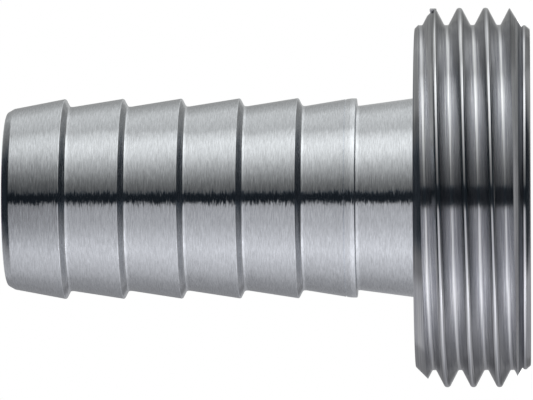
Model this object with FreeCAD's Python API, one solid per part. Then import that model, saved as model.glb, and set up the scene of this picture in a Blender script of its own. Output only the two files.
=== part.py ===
"""Hose tail with a male pipe thread, turned in one piece from a bar of stainless steel.

A hose is pushed over the barbed tail and the collar screws into a fitting. The piece stands on the
flat sealing face of its collar: that face's centre is the origin, the axis is +Z, and the nose of
the tail points up. Lengths are in millimetres and angles in degrees.
"""

import FreeCAD
import Part

import math
import os

# Pipe thread G 3/4 on the collar, right-hand
thread_major_diameter = 26.44
thread_pitch = 1.814
thread_flank_angle = 27.5  # of each flank, from square to the axis
thread_crest_flat = 0.29
thread_root_flat = 0.28
thread_crest_height = 1.27  # above the sealing face, where a crest crosses the +X side

# Collar
collar_length = 8.0
collar_back_diameter = 23.6  # where the back chamfer meets the tail-side face
collar_back_chamfer_angle = 45.0  # from the axis
pilot_relief = 0.03  # the unthreaded pilot lies this far under the thread's root
pilot_length = 0.66
pilot_chamfer_length = 0.4  # along the axis, on the edge of the sealing face
pilot_chamfer_depth = 0.28  # towards the axis
pilot_shoulder_angle = 58.5  # from the axis, where the thread starts above the pilot

# Barbed tail for a hose of 13 mm bore
barb_count = 6
barb_pitch = 4.07
barb_crest_diameter = 13.9
barb_root_diameter = 12.85
barb_shoulder_lean = 27.0  # of a shoulder, from square to the axis
collar_barb_land = 0.35  # the barb nearest the collar has a straight band and a square shoulder
nose_diameter = 12.46  # of the first cone, where it would meet the nose without its chamfer
nose_chamfer = 0.4

# Waterway
bore_diameter = 10.0
bore_edge_break = 0.3

# How far a tool, or the stock it works on, runs past the surface that it makes
overrun = 0.4

# Where the seam of the threaded bar's core lies, clear of both ends of the ridge
core_seam_angle = 37.0

# The thread's form: two flanks share what the narrow flats on crest and root leave of the pitch
thread_flank_slope = math.tan(math.radians(thread_flank_angle))
thread_depth = (thread_pitch - thread_crest_flat - thread_root_flat) / 2 / thread_flank_slope
thread_major_radius = thread_major_diameter / 2
thread_minor_radius = thread_major_radius - thread_depth

# The whole piece
overall_length = collar_length + (barb_count + 1) * barb_pitch


def outline(corners):
    """A closed outline in the XZ plane, with corners given as (radius from the axis, height)."""
    places = [FreeCAD.Vector(radius, 0, height) for radius, height in corners]
    return Part.makePolygon(places + places[:1])


def turned(corners):
    """The solid that a closed outline sweeps in one turn about the Z axis."""
    face = Part.Face(outline(corners))
    return face.revolve(FreeCAD.Vector(0, 0, 0), FreeCAD.Vector(0, 0, 1), 360)


def threaded_bar():
    """A bar with the pipe thread on it, longer than the collar at both ends.

    The ridge's foot is sunk into the bar's core: each flank runs on under a quarter of the root's
    flat, so that the feet of two turns don't meet.
    """
    half_crest = thread_crest_flat / 2
    half_foot = (thread_pitch - thread_root_flat / 2) / 2
    foot_radius = thread_major_radius - (half_foot - half_crest) / thread_flank_slope
    turns_below = math.ceil(thread_crest_height / thread_pitch) + 1
    turns_above = math.ceil((collar_length - thread_crest_height) / thread_pitch) + 1
    lowest = thread_crest_height - turns_below * thread_pitch
    length = (turns_below + turns_above) * thread_pitch
    path = Part.makeHelix(thread_pitch, length, thread_major_radius)
    path.translate(FreeCAD.Vector(0, 0, lowest))
    profile = outline(
        [
            (foot_radius, lowest - half_foot),
            (thread_major_radius, lowest - half_crest),
            (thread_major_radius, lowest + half_crest),
            (foot_radius, lowest + half_foot),
        ]
    )
    ridge = Part.Wire(path).makePipeShell([profile], True, True)
    core = Part.makeCylinder(
        thread_minor_radius,
        length + 4 * thread_pitch,
        FreeCAD.Vector(0, 0, lowest - 2 * thread_pitch),
    )
    core.rotate(FreeCAD.Vector(0, 0, 0), FreeCAD.Vector(0, 0, 1), core_seam_angle)
    return core.fuse(ridge)


def collar():
    """The threaded collar, with its pilot, the start of the thread and the back chamfer."""
    outer_radius = thread_major_radius + overrun
    pilot_radius = thread_minor_radius - pilot_relief
    back_radius = collar_back_diameter / 2
    shoulder_run = (outer_radius - pilot_radius) / math.tan(math.radians(pilot_shoulder_angle))
    chamfer_run = (outer_radius - back_radius) / math.tan(math.radians(collar_back_chamfer_angle))
    envelope = turned(
        [
            (0, 0),
            (pilot_radius - pilot_chamfer_depth, 0),
            (pilot_radius, pilot_chamfer_length),
            (pilot_radius, pilot_length),
            (outer_radius, pilot_length + shoulder_run),
            (outer_radius, collar_length - chamfer_run),
            (back_radius, collar_length),
            (0, collar_length),
        ]
    )
    return threaded_bar().common(envelope)


def tail():
    """The barbed tail without its bore. Each cone is wide towards the collar."""
    crest_radius = barb_crest_diameter / 2
    root_radius = barb_root_diameter / 2
    nose_face_radius = nose_diameter / 2 - nose_chamfer
    shoulder_run = (crest_radius - root_radius) * math.tan(math.radians(barb_shoulder_lean))
    foot = collar_length - overrun
    square_shoulder = collar_length + barb_pitch
    corners = [
        (0, foot),
        (crest_radius, foot),
        (crest_radius, collar_length),
        (root_radius, square_shoulder),
        (crest_radius, square_shoulder),
        (crest_radius, square_shoulder + collar_barb_land),
    ]
    for barb in range(2, barb_count + 1):
        crest = collar_length + barb * barb_pitch
        corners += [(root_radius, crest - shoulder_run), (crest_radius, crest)]
    corners += [
        (nose_diameter / 2, overall_length - nose_chamfer),
        (nose_face_radius, overall_length),
        (0, overall_length),
    ]
    return turned(corners)


def waterway():
    """The tool that drills the bore through the whole piece and breaks both of its edges."""
    bore_radius = bore_diameter / 2
    wide_radius = bore_radius + bore_edge_break + overrun
    return turned(
        [
            (0, -overrun),
            (wide_radius, -overrun),
            (bore_radius, bore_edge_break),
            (bore_radius, overall_length - bore_edge_break),
            (wide_radius, overall_length + overrun),
            (0, overall_length + overrun),
        ]
    )


def hose_tail():
    """The finished piece."""
    return collar().fuse(tail()).cut(waterway()).removeSplitter()


os.makedirs("parts", exist_ok=True)
hose_tail().exportStep("parts/hose_tail.step")
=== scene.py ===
"""Studio picture of a hose tail: a barbed tube with a male pipe thread, turned from stainless steel.

The piece stands on the sealing face of its collar, with its axis on +Z and its nose up. The camera
lies on its side, so that the picture shows the axis level, with the nose to the left.
"""

import logging
import math
from collections.abc import Callable, Iterable, Sequence
from dataclasses import dataclass
from enum import IntEnum
from typing import Any

import bmesh
import bpy
from mathutils import Matrix, Vector


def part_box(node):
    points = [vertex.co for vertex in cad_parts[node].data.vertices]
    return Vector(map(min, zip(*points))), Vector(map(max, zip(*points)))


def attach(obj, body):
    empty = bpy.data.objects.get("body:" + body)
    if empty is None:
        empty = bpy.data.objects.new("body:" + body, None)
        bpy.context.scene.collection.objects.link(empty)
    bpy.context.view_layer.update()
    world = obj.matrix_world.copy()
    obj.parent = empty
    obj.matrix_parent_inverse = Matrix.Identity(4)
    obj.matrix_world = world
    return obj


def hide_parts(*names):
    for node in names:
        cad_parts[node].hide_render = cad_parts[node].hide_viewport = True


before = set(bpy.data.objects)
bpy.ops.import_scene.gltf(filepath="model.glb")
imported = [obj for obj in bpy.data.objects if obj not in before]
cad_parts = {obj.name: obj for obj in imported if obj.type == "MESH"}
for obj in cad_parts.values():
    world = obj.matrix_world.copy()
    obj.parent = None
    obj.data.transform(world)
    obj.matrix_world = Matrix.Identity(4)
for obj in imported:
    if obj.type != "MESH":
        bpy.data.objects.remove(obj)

log = logging.getLogger("hose_tail")

MM = 0.001  # metres in a millimetre
WELD = 1e-7  # metres: corners nearer to each other than this are one
AXIS = {"center": (0, 0, 0), "axis": (0, 0, 1)}  # what the piece is turned about


class Value:
    """An output of a shader node, on which Python's operators add Math nodes."""

    def __init__(self, shader: "Shader", output: bpy.types.NodeSocket) -> None:
        """Keeps the output and the shader that it belongs to."""
        self.shader = shader
        self.output = output

    def math(self, operation: str, *others: Any) -> "Value":
        """Adds a Math node that takes this output first.

        Args:
            operation: the Math node's operation.
            others: its further inputs, as values or numbers.

        Returns:
            The node's output.
        """
        inputs = {0: self, **dict(enumerate(others, 1))}
        return self.shader.node("ShaderNodeMath", {"operation": operation}, inputs)

    def __add__(self, other: Any) -> "Value":
        """This value plus another."""
        return self.math("ADD", other)

    def __sub__(self, other: Any) -> "Value":
        """This value less another."""
        return self.math("SUBTRACT", other)

    def __rsub__(self, other: float) -> "Value":
        """A number less this value."""
        return self.shader.node("ShaderNodeMath", {"operation": "SUBTRACT"}, {0: other, 1: self})

    def __mul__(self, other: Any) -> "Value":
        """This value times another."""
        return self.math("MULTIPLY", other)

    def __truediv__(self, other: Any) -> "Value":
        """This value over another."""
        return self.math("DIVIDE", other)

    __radd__ = __add__
    __rmul__ = __mul__

    def ramp(self, low: float, high: float) -> "Value":
        """A smooth step, from 0 where this value is low to 1 where it is high."""
        inputs = {"Value": self, "From Min": low, "From Max": high, "To Min": 0.0, "To Max": 1.0}
        return self.shader.node("ShaderNodeMapRange", {"interpolation_type": "SMOOTHSTEP"}, inputs)


Place = tuple[Value, Value, Value]
Colour = tuple[float, float, float]


class Shader:
    """The node tree of one material or world, built by short calls."""

    def __init__(self, tree: bpy.types.NodeTree) -> None:
        """Empties the tree, which the calls then fill."""
        self.tree = tree
        tree.nodes.clear()

    def node(
        self,
        kind: str,
        settings: dict[str, Any] | None = None,
        inputs: dict[Any, Any] | None = None,
        output: Any = 0,
    ) -> Value:
        """Adds one node.

        Args:
            kind: the node's type.
            settings: its settings, set before the inputs. A colour ramp's stops are pairs of a place
                and a grey level, both from 0 to 1.
            inputs: values, colours or outputs by the input's name or number.
            output: the name or number of the output to give back.

        Returns:
            That output.
        """
        made = self.tree.nodes.new(kind)
        for name, value in (settings or {}).items():
            if name == "stops":
                self.set_stops(made.color_ramp.elements, value)
            else:
                setattr(made, name, value)
        for name, value in (inputs or {}).items():
            if isinstance(value, Value):
                self.tree.links.new(value.output, made.inputs[name])
            else:
                made.inputs[name].default_value = value
        return Value(self, made.outputs[output] if len(made.outputs) else None)

    @staticmethod
    def set_stops(elements: bpy.types.ColorRampElements, stops: Sequence[tuple[float, float]]) -> None:
        """Places the stops of a new colour ramp, which has two of its own."""
        for index, (place, level) in enumerate(stops):
            stop = elements[index] if index < 2 else elements.new(place)
            stop.position = place
            stop.color = (level, level, level, 1)

    def vector(self, operation: str, *inputs: Any, **named: Any) -> Value:
        """Adds a Vector Math node and gives back its vector."""
        values = {**dict(enumerate(inputs)), **named}
        return self.node("ShaderNodeVectorMath", {"operation": operation}, values, "Vector")

    def mix(self, share: Any, first: Any, second: Any) -> Value:
        """A colour between two, by a share from 0 to 1."""
        values = {0: share, 6: first, 7: second}
        return self.node("ShaderNodeMix", {"data_type": "RGBA"}, values, 2)

    def place(self) -> Place:
        """The three Object coordinates of the place that is shaded."""
        where = self.node("ShaderNodeTexCoord", output="Object")
        parts = self.node("ShaderNodeSeparateXYZ", inputs={0: where})
        sockets = parts.output.node.outputs
        return tuple(Value(self, sockets[axis]) for axis in range(3))

    def seen(self) -> Value:
        """1 on rays from the camera and on those that gloss or glass sends on, and 0 on others."""
        path = self.node("ShaderNodeLightPath", output="Is Camera Ray")
        sockets = path.output.node.outputs
        glossy, clear = (Value(self, sockets[name]) for name in ("Is Glossy Ray", "Is Transmission Ray"))
        return path.math("MAXIMUM", glossy).math("MAXIMUM", clear)


def radius_of(place: Place) -> Value:
    """How far a shaded place lies from the axis, in metres."""
    x, y, _ = place
    return (x * x + y * y).math("SQRT")


def opaque(colour: Colour, scale: float = 1.0) -> tuple[float, ...]:
    """A colour as a socket takes it, made brighter or darker, and held at 1."""
    return (*(min(part * scale, 1.0) for part in colour), 1.0)


# Turning and cutting


@dataclass(frozen=True)
class Corner:
    """One corner of a turned outline, in millimetres.

    Attributes:
        radius: its distance from the axis.
        height: its height over the sealing face.
        rounding: the radius of the arc that takes its place, or 0 where it stays sharp.
    """

    radius: float
    height: float
    rounding: float = 0.0

    @property
    def place(self) -> Vector:
        """The corner in the XZ plane, in metres."""
        return Vector((self.radius, 0.0, self.height)) * MM


class Bench:
    """The modelling steps that the forms share. Each works on the active object."""

    ARC_STEP = 14.0  # degrees of turn for each straight step of a rounded corner

    @staticmethod
    def deselect() -> None:
        """Lets go of every object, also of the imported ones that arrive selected."""
        for thing in bpy.context.selected_objects:
            thing.select_set(False)

    @staticmethod
    def draw(name: str, corners: Sequence[Corner], closed: bool) -> bpy.types.Object:
        """Draws an outline as a chain of edges, with its corners rounded.

        Args:
            name: the new object's name.
            corners: the corners in order.
            closed: whether the last corner is joined to the first.

        Returns:
            The new object, in edit mode.
        """
        Bench.deselect()
        bpy.ops.mesh.primitive_plane_add(size=MM)
        drawn = bpy.context.object
        drawn.name = name
        bpy.ops.object.mode_set(mode="EDIT")
        bpy.ops.mesh.select_all(action="SELECT")
        bpy.ops.mesh.merge(type="CENTER")
        bpy.ops.transform.translate(value=corners[0].place)
        for last, corner in zip(corners, corners[1:]):
            step = {"value": corner.place - last.place}
            bpy.ops.mesh.extrude_region_move(TRANSFORM_OT_translate=step)
        if closed:
            Bench.select(drawn, lambda at: min((at - corners[i].place).length for i in (0, -1)) < WELD)
            bpy.ops.mesh.edge_face_add()
        ends = len(corners) - 1
        for index, corner in enumerate(corners):
            if corner.rounding and (closed or 0 < index < ends):
                before = corners[index - 1].place - corner.place
                after = corners[(index + 1) % len(corners)].place - corner.place
                turn = math.pi - before.angle(after)
                Bench.select(drawn, lambda at: (at - corner.place).length < WELD)
                bpy.ops.mesh.bevel(
                    offset=corner.rounding * MM * math.tan(turn / 2),
                    segments=max(2, math.ceil(math.degrees(turn) / Bench.ARC_STEP)),
                    affect="VERTICES",
                )
        return drawn

    @staticmethod
    def select(thing: bpy.types.Object, chosen: Callable[[Vector], bool]) -> None:
        """Selects the corners of an object in edit mode that a test picks by their place."""
        bpy.ops.mesh.select_mode(type="VERT")
        bpy.ops.mesh.select_all(action="DESELECT")
        mesh = bmesh.from_edit_mesh(thing.data)
        for corner in mesh.verts:
            corner.select = chosen(corner.co)
        mesh.select_flush_mode()
        bmesh.update_edit_mesh(thing.data)

    @staticmethod
    def close_up() -> None:
        """Merges doubled corners and turns all faces outwards."""
        bpy.ops.mesh.select_all(action="SELECT")
        bpy.ops.mesh.remove_doubles(threshold=WELD * 5)
        bpy.ops.mesh.select_all(action="SELECT")
        bpy.ops.mesh.normals_make_consistent(inside=False)

    @staticmethod
    def finish(thing: bpy.types.Object, kind: str, **settings: Any) -> None:
        """Adds a modifier to an object and applies it at once.

        Args:
            thing: the object, which becomes the active one.
            kind: the modifier's type.
            settings: the modifier's settings.
        """
        bpy.context.view_layer.objects.active = thing
        modifier = thing.modifiers.new(kind.lower(), kind)
        for name, value in settings.items():
            setattr(modifier, name, value)
        bpy.ops.object.modifier_apply(modifier=modifier.name)

    @staticmethod
    def combine(thing: bpy.types.Object, operation: str, tool: bpy.types.Object) -> None:
        """Cuts an object by another or joins it on, and takes the other away."""
        Bench.finish(thing, "BOOLEAN", operation=operation, solver="EXACT", object=tool)
        bpy.data.objects.remove(tool)


# Steel


@dataclass(frozen=True)
class ThreadPaintedShade:
    """Painted shade on a thread's steel, by the radius: darker flanks and dark lines beside the crest. All
    radii are in millimetres.

    Attributes:
        low: the radius where the flanks start.
        high: the radius where they end, under the crest.
        flank: the flanks' brightness under the painted shade, as a share.
        edge: the brightness of the painted dark lines beside the crest, as a share.
    """

    low: float
    high: float
    flank: float
    edge: float

    # Over how much of the radius the painted shade comes and goes
    FLANK_FADE = 0.05
    CREST_FADE = 0.02
    EDGE_WIDTH = 0.1
    EDGE_FADE = 0.05

    def share(self, radius: Value) -> Value:
        """The steel's brightness under the painted shade at a radius in millimetres, as a share."""
        over_root = radius.ramp(self.low - self.FLANK_FADE, self.low + self.FLANK_FADE)
        on_crest = radius.ramp(self.high - self.CREST_FADE, self.high + self.CREST_FADE)
        by_crest = radius.ramp(self.high - self.EDGE_WIDTH, self.high - self.EDGE_WIDTH + self.EDGE_FADE)
        past_edge = radius.ramp(self.high + self.CREST_FADE, self.high + self.EDGE_FADE)
        flank_part = (over_root - on_crest) * (self.flank - 1)
        edge_part = (by_crest - past_edge) * (self.edge - 1)
        return flank_part + edge_part + 1


@dataclass(frozen=True)
class TurnedSteel:
    """Stainless steel with the fine lines that a tool leaves around the axis.

    Attributes:
        name: the material's name.
        colour: the steel's own colour.
        line_width: the width of a line, in millimetres.
        line_length: how long one line goes on around the axis, in degrees.
        line_shade: how much darker and brighter the lines are, as a share.
        twist: how far lines turn the surface around the axis, as a slope.
        pitch: how far lines turn the surface along the axis, as a slope.
        roughness: how much the lines blur what the steel mirrors.
        anisotropy: how much more it is blurred across the lines than along them.
        metallic: 1 for bare metal, less for a matt cut.
        edge_tint: the share of light that is still mirrored at a grazing angle.
        thread: the painted shade on a thread's flanks and beside its crest, or None.
    """

    name: str
    colour: Colour
    line_width: float
    line_length: float
    line_shade: float
    twist: float
    pitch: float
    roughness: float
    anisotropy: float
    metallic: float = 1.0
    edge_tint: float = 1.0
    thread: ThreadPaintedShade | None = None

    LINE_REACH = 0.3  # the lines' value rarely goes past this, up or down
    SHADE_SEED, TWIST_SEED, PITCH_SEED = 0.0, 11.0, 23.0  # these tell the sets of lines apart
    QUARTER_TURN = 0.25  # sets the blur across the lines, not along them

    def lines(self, shader: Shader, place: Place, seed: float) -> Value:
        """Fine lines around the axis, on any turned surface.

        Args:
            shader: the material's nodes.
            place: the Object coordinates.
            seed: a number that tells one set of lines from another.

        Returns:
            A value about 0.
        """
        x, y, z = place
        radius = radius_of(place)
        turns = 1 / math.radians(self.line_length)
        across = 1 / (self.line_width * MM)
        where = shader.node(
            "ShaderNodeCombineXYZ",
            inputs={0: x / radius * turns + seed, 1: y / radius * turns, 2: z * across},
        )
        noise = shader.node(
            "ShaderNodeTexNoise",
            {"noise_dimensions": "4D"},
            {"Vector": where, "W": radius * across, "Scale": 1.0, "Detail": 3.0, "Roughness": 0.7},
        )
        return noise - 0.5

    def tilted(self, shader: Shader, place: Place) -> Value:
        """The surface's normal, turned a little by each line.

        Args:
            shader: the material's nodes.
            place: the Object coordinates.

        Returns:
            The normal.
        """
        x, y, _ = place
        twist = self.lines(shader, place, self.TWIST_SEED) * self.twist / radius_of(place)
        pitch = self.lines(shader, place, self.PITCH_SEED) * self.pitch
        lean = shader.node("ShaderNodeCombineXYZ", inputs={0: y * twist * -1, 1: x * twist, 2: pitch})
        normal = shader.node("ShaderNodeNewGeometry", output="Normal")
        return shader.vector("NORMALIZE", shader.vector("ADD", normal, lean))

    def make(self) -> bpy.types.Material:
        """Builds the material's nodes.

        Returns:
            The material.
        """
        material = bpy.data.materials.new(self.name)
        material.use_nodes = True
        shader = Shader(material.node_tree)
        place = shader.place()
        shade = self.lines(shader, place, self.SHADE_SEED).ramp(-self.LINE_REACH, self.LINE_REACH)
        dark, bright = (opaque(self.colour, 1 + side * self.line_shade) for side in (-1, 1))
        colour = shader.mix(shade, dark, bright)
        # A thread's colour takes painted shade on its flanks and beside its crest
        if self.thread:
            colour = shader.vector("SCALE", colour, Scale=self.thread.share(radius_of(place) / MM))
        steel = shader.node(
            "ShaderNodeBsdfPrincipled",
            inputs={
                "Base Color": colour,
                "Metallic": self.metallic,
                "Roughness": self.roughness,
                "Anisotropic": self.anisotropy,
                "Anisotropic Rotation": self.QUARTER_TURN,
                "Specular Tint": opaque((self.edge_tint,) * 3),
                "Normal": self.tilted(shader, place),
            },
        )
        shader.node("ShaderNodeOutputMaterial", inputs={"Surface": steel})
        return material


class Finish(IntEnum):
    """The finishes of the piece, and the dark foot of the lead-in cone, whose steel is painted shade. Each
    one's number is its material slot.
    """

    BRUSHED = 0
    THREADED = 1
    CUT = 2
    # The foot of the lead-in cone by the pilot: a dark steel that paints the shade in that corner
    PAINTED_SHADE_FOOT = 3


# The piece


@dataclass
class HoseTail:
    """The hose tail itself, turned from one bar. All sizes are in millimetres and degrees.

    Attributes:
        length: from the sealing face to the nose.
        major_radius: over the crests of the thread.
    """

    length: float
    major_radius: float

    # Thread
    thread_pitch: float = 1.814
    flank_angle: float = 27.5
    crest_flat: float = 0.29
    root_flat: float = 0.28
    crest_height: float = 1.27  # where a crest crosses the +X side
    crest_rounding: float = 0.19
    root_rounding: float = 0.13
    thread_steps: int = 448  # in one turn
    painted_shade_start: float = 0.35  # where its painted flank shade starts, as a share of its depth
    painted_shade_end: float = 0.1  # how far under the crest that painted shade ends
    turns_below: int = 3  # turns of the threaded bar under that crest
    turns_spare: int = 4  # turns of the bar besides those that the collar takes
    bar_overrun: float = 1.5  # how far the bar's thread goes on past both ends of the collar

    # Collar
    collar_length: float = 8.0
    back_radius: float = 11.8
    back_chamfer_angle: float = 45.0
    back_rounding: float = 0.05
    pilot_relief: float = 0.03
    pilot_length: float = 0.66
    pilot_chamfer_length: float = 0.32
    pilot_chamfer_depth: float = 0.28
    pilot_rounding: float = 0.1
    relief_start: float = 0.48  # where the groove between pilot and lead-in cone starts
    relief_depth: float = 0.12
    lead_in_angle: float = 58.5  # of the cone from the pilot to the thread
    matt_low: float = 0.3  # of the cone's matt strip, over the pilot's radius; under it lies the foot with painted shade
    matt_high: float = 0.56
    surface_reach: float = 0.02  # a face nearer to the cone than this lies on it
    thread_finish_radius: float = 11.0  # the collar has the thread's finish outside this radius
    face_depth: float = 0.001  # the collar's own faces lie deeper than this under its back

    # Barbs
    barb_count: int = 6
    barb_pitch: float = 4.07
    crest_radius: float = 6.95
    crest_reach: float = 0.045  # how far a barb's crest would stand out without its rounding
    root_radius: float = 6.44
    shoulder_lean: float = 27.0
    root_land: float = 0.25  # the straight stretch at a shoulder's foot
    land_rounding: float = 0.3
    crest_edge: float = 0.11
    root_edge: float = 0.2

    # Barb beside the collar
    collar_land: float = 0.35
    land_edge: float = 0.5
    square_edge: float = 0.04
    square_foot: float = 0.06
    groove_height: float = 12.825
    groove_width: float = 0.09
    groove_depth: float = 0.045

    # Nose
    nose_edge_radius: float = 6.318
    nose_edge_length: float = 0.5
    nose_edge_rounding: float = 0.3
    nose_radius: float = 6.03
    nose_rounding: float = 0.2

    # Burr on the last crest, beside the +X side
    burr_width: float = 0.5
    burr_depth: float = 0.3
    burr_sink: float = 0.03  # how far its top lies under the crest
    burr_foot: float = 0.7  # its foot's width, as a share of its own
    burr_rounding: float = 0.06
    burr_turn: float = 5.0
    burr_steps: int = 8

    # Waterway
    bore_radius: float = 5.0
    bore_edge: float = 0.3

    turned_steps: int = 256
    spare: float = 0.3  # how far the blank stands over the crests before the thread is cut
    smooth_angle: float = 32.0  # edges that turn more than this stay sharp
    face_weight: int = 80  # how much more large faces count in the normals

    @property
    def minor_radius(self) -> float:
        """The radius at the thread's root."""
        slope = math.tan(math.radians(self.flank_angle))
        return self.major_radius - (self.thread_pitch - self.crest_flat - self.root_flat) / 2 / slope

    @property
    def pilot_radius(self) -> float:
        """The radius of the unthreaded pilot."""
        return self.minor_radius - self.pilot_relief

    def on_lead_in(self, over: float) -> Corner:
        """A corner on the cone from the pilot to the thread, this far over the pilot's radius."""
        rise = over / math.tan(math.radians(self.lead_in_angle))
        return Corner(self.pilot_radius + over, self.pilot_length + rise)

    def finish_at(self, radius: float, height: float) -> Finish:
        """The finish of a face.

        Args:
            radius: the distance of its middle from the axis, in millimetres.
            height: its middle's height.

        Returns:
            The finish.
        """
        if height >= self.collar_length - self.face_depth or radius <= self.thread_finish_radius:
            return Finish.BRUSHED
        over = radius - self.pilot_radius
        off_cone = abs(height - self.on_lead_in(over).height)
        if off_cone >= self.surface_reach or over >= self.matt_high:
            return Finish.THREADED
        # Under the matt strip, the cone's foot takes the dark steel that paints shade in the corner
        return Finish.CUT if over > self.matt_low else Finish.PAINTED_SHADE_FOOT

    def collar_outline(self) -> list[Corner]:
        """The corners from the bore's lower edge, round the collar, to the foot of the tail."""
        pilot = self.pilot_radius
        outer = self.major_radius + self.spare
        chamfer = (outer - self.back_radius) / math.tan(math.radians(self.back_chamfer_angle))
        return [
            Corner(self.bore_radius, self.bore_edge),
            Corner(self.bore_radius + self.bore_edge, 0),
            Corner(pilot - self.pilot_chamfer_depth, 0, self.pilot_rounding),
            Corner(pilot, self.pilot_chamfer_length, self.pilot_rounding),
            Corner(pilot, self.relief_start),
            self.on_lead_in(-self.relief_depth),
            self.on_lead_in(self.matt_low),
            self.on_lead_in(self.matt_high),
            self.on_lead_in(outer - pilot),
            Corner(outer, self.collar_length - chamfer),
            Corner(self.back_radius, self.collar_length, self.back_rounding),
            Corner(self.crest_radius, self.collar_length, self.square_foot),
        ]

    def collar_barb_outline(self) -> list[Corner]:
        """The barb beside the collar: a square shoulder, a straight band and a scored cone."""
        shoulder = self.collar_length + self.barb_pitch
        land = shoulder + self.collar_land
        slope = (self.crest_radius - self.root_radius) / (self.barb_pitch - self.collar_land)
        side = self.groove_width / 2
        at_groove = self.crest_radius - slope * (self.groove_height - land)
        return [
            Corner(self.root_radius, shoulder - self.root_land, self.land_rounding),
            Corner(self.root_radius, shoulder, self.square_foot),
            Corner(self.crest_radius, shoulder, self.square_edge),
            Corner(self.crest_radius, land, self.land_edge),
            Corner(at_groove + side * slope, self.groove_height - side),
            Corner(at_groove - self.groove_depth, self.groove_height),
            Corner(at_groove - side * slope, self.groove_height + side),
        ]

    def barb_outline(self) -> list[Corner]:
        """The barbs that are all alike, from the collar to the nose."""
        corners = []
        sharp_radius = self.crest_radius + self.crest_reach
        run = (sharp_radius - self.root_radius) * math.tan(math.radians(self.shoulder_lean))
        for barb in range(2, self.barb_count + 1):
            crest = self.collar_length + barb * self.barb_pitch
            corners += [
                Corner(self.root_radius, crest - run - self.root_land, self.land_rounding),
                Corner(self.root_radius, crest - run, self.root_edge),
                Corner(sharp_radius, crest, self.crest_edge),
            ]
        return corners

    def nose_outline(self) -> list[Corner]:
        """The rounded nose and the bore's upper edge."""
        return [
            Corner(self.nose_edge_radius, self.length - self.nose_edge_length, self.nose_edge_rounding),
            Corner(self.nose_radius, self.length, self.nose_rounding),
            Corner(self.bore_radius + self.bore_edge, self.length),
            Corner(self.bore_radius, self.length - self.bore_edge),
        ]

    def blank(self) -> bpy.types.Object:
        """The turned piece before its thread is cut."""
        outline = [
            *self.collar_outline(),
            *self.collar_barb_outline(),
            *self.barb_outline(),
            *self.nose_outline(),
        ]
        blank = Bench.draw("hose_tail_turned", outline, closed=True)
        bpy.ops.mesh.select_all(action="SELECT")
        bpy.ops.mesh.spin(steps=self.turned_steps, angle=math.tau, **AXIS)
        Bench.close_up()
        bpy.ops.object.mode_set(mode="OBJECT")
        return blank

    def threaded_bar(self) -> bpy.types.Object:
        """A bar with the thread on it, longer than the collar below and than the tail above."""
        crest, root, pitch = self.crest_flat / 2, self.root_flat / 2, self.thread_pitch
        lowest = self.crest_height - self.turns_below * pitch
        turn = [
            Corner(self.major_radius, lowest),
            Corner(self.major_radius, lowest + crest, self.crest_rounding),
            Corner(self.minor_radius, lowest + pitch / 2 - root, self.root_rounding),
            Corner(self.minor_radius, lowest + pitch / 2 + root, self.root_rounding),
            Corner(self.major_radius, lowest + pitch - crest, self.crest_rounding),
            Corner(self.major_radius, lowest + pitch),
        ]
        bar = Bench.draw("thread_gauge", turn, closed=False)
        bpy.ops.object.mode_set(mode="OBJECT")
        Bench.finish(
            bar,
            "SCREW",
            axis="Z",
            angle=math.tau,
            screw_offset=pitch * MM,
            iterations=math.ceil(self.collar_length / pitch) + self.turns_spare,
            steps=self.thread_steps,
            render_steps=self.thread_steps,
        )
        bpy.ops.object.mode_set(mode="EDIT")
        Bench.close_up()
        below, above = -self.bar_overrun * MM, (self.collar_length + self.bar_overrun) * MM
        for height, side in ((below, {"clear_inner": True}), (above, {"clear_outer": True})):
            bpy.ops.mesh.select_all(action="SELECT")
            bpy.ops.mesh.bisect(
                plane_co=(0, 0, height), plane_no=(0, 0, 1), use_fill=True, threshold=WELD, **side
            )
        Bench.select(bar, lambda at: at.z > above - WELD)
        rise = {"value": (0, 0, self.length * MM)}
        bpy.ops.mesh.extrude_region_move(TRANSFORM_OT_translate=rise)
        Bench.close_up()
        bpy.ops.object.mode_set(mode="OBJECT")
        return bar

    def burr(self) -> bpy.types.Object:
        """The lip of metal that the thread's last crest carries beside the +X side."""
        crests = math.floor((self.collar_length - self.burr_width - self.crest_height) / self.thread_pitch)
        middle = self.crest_height + crests * self.thread_pitch
        half = self.burr_width / 2
        half_foot = half * self.burr_foot
        top = self.major_radius - self.burr_sink
        section = [
            Corner(top - self.burr_depth, middle - half_foot),
            Corner(top, middle - half, self.burr_rounding),
            Corner(top, middle + half, self.burr_rounding),
            Corner(top - self.burr_depth, middle + half_foot),
        ]
        burr = Bench.draw("burr", section, closed=True)
        turn = math.radians(self.burr_turn)
        bpy.ops.mesh.select_all(action="SELECT")
        bpy.ops.transform.rotate(value=turn / 2, orient_axis="Z", center_override=(0, 0, 0))
        bpy.ops.mesh.spin(steps=self.burr_steps, angle=turn, **AXIS)
        bpy.ops.mesh.select_all(action="SELECT")
        bpy.ops.mesh.fill_holes(sides=0)
        Bench.close_up()
        bpy.ops.object.mode_set(mode="OBJECT")
        return burr

    def build(self) -> bpy.types.Object:
        """Cuts the thread on the blank and finishes the mesh.

        Returns:
            The whole piece.
        """
        piece = self.blank()
        Bench.combine(piece, "INTERSECT", self.threaded_bar())
        burr = self.burr()
        Bench.deselect()
        Bench.combine(piece, "UNION", burr)
        piece.name = "hose_tail_steel"
        piece.data.name = piece.name
        Bench.deselect()
        piece.select_set(True)
        bpy.context.view_layer.objects.active = piece
        bpy.ops.object.mode_set(mode="EDIT")
        Bench.close_up()
        bpy.ops.object.mode_set(mode="OBJECT")
        bpy.ops.object.shade_smooth_by_angle(angle=math.radians(self.smooth_angle))
        Bench.finish(piece, "WEIGHTED_NORMAL", keep_sharp=True, weight=self.face_weight)
        return piece

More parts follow.
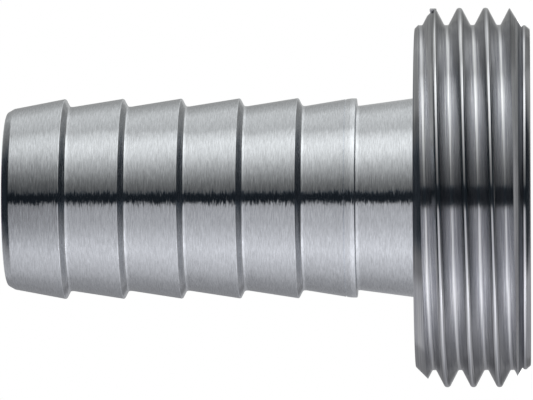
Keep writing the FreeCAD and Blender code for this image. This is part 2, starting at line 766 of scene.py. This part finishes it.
    def steels(self) -> dict[Finish, TurnedSteel]:
        """The steel of each finish."""
        depth = self.major_radius - self.minor_radius
        # Painted shade on the thread's flanks and beside its crest
        shade = ThreadPaintedShade(
            low=self.minor_radius + self.painted_shade_start * depth,
            high=self.major_radius - self.painted_shade_end,
            flank=0.9,
            edge=0.7,
        )
        return {
            Finish.BRUSHED: TurnedSteel(
                name="brushed_steel",
                colour=(0.78, 0.80, 0.83),
                line_width=0.06,
                line_length=5.0,
                line_shade=0.2,
                twist=0.22,
                pitch=0.08,
                roughness=0.15,
                anisotropy=1.0,
            ),
            Finish.THREADED: TurnedSteel(
                name="threaded_steel",
                colour=(0.785, 0.80, 0.87),
                line_width=0.08,
                line_length=40.0,
                line_shade=0.35,
                twist=0.06,
                pitch=0.22,
                roughness=0.15,
                anisotropy=0.9,
                edge_tint=0.72,
                thread=shade,
            ),
            Finish.CUT: TurnedSteel(
                name="cut_steel",
                colour=(0.95, 0.96, 0.98),
                line_width=0.06,
                line_length=8.0,
                line_shade=0.3,
                twist=0.2,
                pitch=0.3,
                roughness=0.5,
                anisotropy=0.3,
                metallic=0.5,
            ),
            # A dark steel that paints the shade in the corner between the pilot and the lead-in cone
            Finish.PAINTED_SHADE_FOOT: TurnedSteel(
                name="shoulder_foot_painted_shade",
                colour=(0.22, 0.23, 0.26),
                line_width=0.06,
                line_length=8.0,
                line_shade=0.5,
                twist=0.2,
                pitch=0.3,
                roughness=0.3,
                anisotropy=0.5,
            ),
        }

    def dress(self, piece: bpy.types.Object) -> None:
        """Gives each face its finish.

        Args:
            piece: the whole piece.
        """
        steels = self.steels()
        for finish in Finish:
            piece.data.materials.append(steels[finish].make())
        for face in piece.data.polygons:
            x, y, z = face.center
            face.material_index = self.finish_at(math.hypot(x, y) / MM, z / MM)


# The studio


@dataclass(frozen=True)
class Belt:
    """A belt of the light tent.

    Attributes:
        low: the height where it starts, as a share of the tent's radius.
        high: the height where it ends.
        stops: the angle from the camera's side in degrees, which is positive towards +X, and the
            brightness there.
    """

    low: float
    high: float
    stops: tuple[tuple[float, float], ...]

    FADE = 0.03  # half of the height over which two belts blend

    def share(self, height: Value) -> Value:
        """1 in the belt and 0 outside it."""
        over_low = height.ramp(self.low - self.FADE, self.low + self.FADE)
        over_high = height.ramp(self.high - self.FADE, self.high + self.FADE)
        if self.low <= -1:
            return 1 - over_high
        if self.high >= 1:
            return over_low
        return over_low - over_high

    def brightness(self, shader: Shader, angle: Value) -> Value:
        """The brightness by the angle around the piece.

        Args:
            shader: the tent's nodes.
            angle: the angle, from 0 to 1.

        Returns:
            The brightness.
        """
        peak = max(brightness for _, brightness in self.stops)
        stops = [(degrees / 360 + 0.5, brightness / peak) for degrees, brightness in self.stops]
        return shader.node("ShaderNodeValToRGB", {"stops": stops}, {0: angle}) * peak


# From under the collar to over the nose. The dark gap in front of the piece is what it mirrors as the
# dark streak along its axis
BELTS = (
    Belt(-1.0, -0.86, (
        (-180, 0.34), (-150, 0.4), (-102, 0.36), (-82, 0.02),
        (88, 0.01), (105, 0.22), (120, 0.36), (150, 0.36), (180, 0.34),
    )),
    Belt(-0.86, -0.64, (
        (-180, 0.3), (-90, 0.36), (-60, 0.25), (-38, 0.15), (-16, 0.07), (-4, 0.015),
        (55, 0.015), (75, 0.03), (95, 0.12), (120, 0.34), (180, 0.3),
    )),
    Belt(-0.64, -0.32, (
        (-180, 0.22), (-165, 0.28), (-140, 0.33), (-122, 0.3), (-105, 0.32), (-80, 0.34),
        (-60, 0.28), (-40, 0.24), (-20, 0.14), (-8, 0.04), (0, 0.012),
        (45, 0.015), (60, 0.02), (78, 0.02), (95, 0.06), (115, 0.18), (135, 0.24),
        (160, 0.2), (180, 0.22),
    )),
    Belt(-0.32, -0.15, (
        (-180, 0.2), (-130, 0.22), (-105, 0.42), (-85, 0.8), (-58, 1.8), (-44, 0.95),
        (-30, 0.52), (-8, 0.34), (-5, 0.014),
        (6.8, 0.014), (7.6, 0.1), (20, 0.2), (30, 0.36), (45, 0.7), (58, 1.2), (70, 1.5),
        (82, 1.1), (92, 0.75), (105, 0.5), (130, 0.35), (180, 0.25),
    )),
    Belt(-0.15, 0.535, (
        (-180, 0.255), (-140, 0.268), (-119, 0.335), (-102, 0.485), (-88, 0.593), (-66, 0.765),
        (-48, 0.66), (-30, 0.53), (-18, 0.503), (-8, 0.42), (-6.5, 0.33), (-5, 0.014),
        (6.8, 0.014), (7.6, 0.115), (12, 0.138), (20, 0.213), (30, 0.362), (40, 0.535),
        (50, 0.742), (60, 0.905), (70, 0.95), (80, 0.815), (86, 0.71), (89, 0.578),
        (91, 0.562), (115, 0.643), (124, 0.622), (136, 0.46), (151, 0.347), (180, 0.306),
    )),
    Belt(0.535, 0.88, (
        (-180, 0.6), (-150, 0.42), (-115, 0.38), (-90, 0.25), (-72, 0.08), (-55, 0.02),
        (-30, 0.008), (55, 0.008), (72, 0.015), (88, 0.09), (104, 0.15), (120, 0.22),
        (145, 0.32), (180, 0.6),
    )),
    Belt(0.88, 0.955, (
        (-180, 0.5), (-135, 0.2), (-75, 0.12), (-45, 0.02),
        (60, 0.02), (90, 0.06), (145, 0.15), (180, 0.5),
    )),
    Belt(0.955, 1.0, ((-180, 0.02), (180, 0.02))),
)


@dataclass
class Studio:
    """The floor, the light tent, the world and the camera. Sizes are in metres.

    Attributes:
        reach: the tent's radius.
        level: the brightness that all of the tent's light is scaled by.
    """

    reach: float = 0.3
    level: float = 1.0
    belts: tuple[Belt, ...] = BELTS
    core: float = 0.45  # how much brighter the tent is level with the sealing face
    core_height: float = 0.11  # how high that goes, as a share of the tent's radius
    blend: float = 0.3  # half of the width over which its two tints blend, as such a share
    upper_tint: Colour = (0.99, 1.006, 0.998)
    lower_tint: Colour = (0.985, 0.99, 1.03)
    dark_tint: Colour = (0.75, 1.0, 1.3)
    dark_level: float = 0.13  # the brightness under which the light takes the dark tint
    soft_world: float = 0.6  # the world's brightness for light that isn't seen
    floor_size: float = 6.0
    paper: float = 0.86
    paper_glow: float = 0.8

    # The picture, in pixels, and the camera
    picture_width: int = 533
    picture_height: int = 400
    pixel: float = 0.069765 * MM  # on the piece's axis
    distance: float = 5700.0  # in pixels
    sealing_face_x: float = 530.3
    centre_x: float = 516.0  # where the camera looks at the axis squarely
    axis_y: float = 198.3
    roll: float = 0.22  # degrees
    sensor_width: float = 36.0  # millimetres

    def world(self) -> None:
        """A white world, also as metal mirrors it, and soft grey for other light."""
        world = bpy.data.worlds.new("white_room")
        bpy.context.scene.world = world
        world.use_nodes = True
        shader = Shader(world.node_tree)
        grey = opaque((self.soft_world,) * 3)
        light = shader.mix(shader.seen(), grey, opaque((1.0, 1.0, 1.0)))
        background = shader.node("ShaderNodeBackground", inputs={"Color": light, "Strength": 1.0})
        shader.node("ShaderNodeOutputWorld", inputs={"Surface": background})

    def floor(self) -> None:
        """A plain pale floor that the piece stands on."""
        Bench.deselect()
        bpy.ops.mesh.primitive_plane_add(size=self.floor_size)
        floor = bpy.context.object
        floor.name = "floor"
        material = bpy.data.materials.new("white_paper")
        material.use_nodes = True
        shader = Shader(material.node_tree)
        black, white = opaque((0.0, 0.0, 0.0)), opaque((1.0, 1.0, 1.0))
        paper = shader.node(
            "ShaderNodeBsdfPrincipled",
            inputs={
                "Base Color": opaque((self.paper,) * 3),
                "Roughness": 0.9,
                "Emission Color": shader.mix(shader.seen(), black, white),
                "Emission Strength": self.paper_glow,
            },
        )
        shader.node("ShaderNodeOutputMaterial", inputs={"Surface": paper})
        floor.data.materials.append(material)
        floor.visible_glossy = False

    def tent(self) -> None:
        """A tent of graded light all round the piece, which only the camera looks through."""
        Bench.deselect()
        bpy.ops.mesh.primitive_uv_sphere_add(segments=96, ring_count=48, radius=self.reach)
        tent = bpy.context.object
        tent.name = "light_tent"
        material = bpy.data.materials.new("tent_light")
        material.use_nodes = True
        shader = Shader(material.node_tree)
        x, y, z = shader.place()
        angle = x.math("ARCTAN2", y * -1) / math.tau + 0.5
        height = z / self.reach
        lights = [belt.share(height) * belt.brightness(shader, angle) for belt in self.belts]
        core = 1 - height.math("ABSOLUTE").ramp(self.core_height / 2, self.core_height * 1.5)
        bright = sum(lights[1:], lights[0]) * (core * self.core + 1)
        upper = (x / self.reach).ramp(-self.blend, self.blend)
        side_tint = shader.mix(upper, (*self.lower_tint, 1), (*self.upper_tint, 1))
        tint = shader.mix(bright.ramp(0.0, self.dark_level), (*self.dark_tint, 1), side_tint)
        colour = shader.vector("SCALE", tint, Scale=bright)
        light = shader.node("ShaderNodeEmission", inputs={"Color": colour, "Strength": self.level})
        shader.node("ShaderNodeOutputMaterial", inputs={"Surface": light})
        tent.data.materials.append(material)
        tent.visible_camera = False
        tent.visible_shadow = False

    def camera(self) -> None:
        """The camera, on its side so that +Z points left and +X up in the picture."""
        height = (self.sealing_face_x - self.centre_x) * self.pixel
        middle = height + (self.centre_x - self.picture_width / 2) * self.pixel
        drop = (self.axis_y - self.picture_height / 2) * self.pixel
        eye = Vector((0, -self.distance * self.pixel, height))
        forward = (Vector((0, 0, middle)) - eye).normalized()
        up = Vector((1, 0, 0))
        up = (up - forward * up.dot(forward)).normalized()
        turn = Matrix((forward.cross(up), up, -forward)).transposed()
        roll = Matrix.Rotation(-math.radians(self.roll), 3, "Z")
        data = bpy.data.cameras.new("camera")
        data.sensor_width = self.sensor_width
        data.lens = self.sensor_width * self.distance / self.picture_width
        data.clip_start = 0.01
        data.clip_end = 20.0
        camera = bpy.data.objects.new("camera", data)
        bpy.context.scene.collection.objects.link(camera)
        camera.location = eye + up * drop
        camera.rotation_euler = (turn @ roll).to_euler()
        bpy.context.scene.camera = camera

    def build(self) -> None:
        """Sets up the whole studio."""
        self.world()
        self.floor()
        self.tent()
        self.camera()
        bpy.context.scene.view_settings.view_transform = "Standard"


def main() -> None:
    """Builds the hose tail and the studio around it."""
    logging.basicConfig(level=logging.INFO, format="%(name)s: %(message)s")
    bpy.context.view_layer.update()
    _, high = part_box("hose_tail")
    tail = HoseTail(length=high.z / MM, major_radius=high.x / MM)
    piece = tail.build()
    tail.dress(piece)
    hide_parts("hose_tail")
    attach(piece, "root")
    log.info("%s: %d faces", piece.name, len(piece.data.polygons))
    Studio().build()


if __name__ == "__main__":
    main()
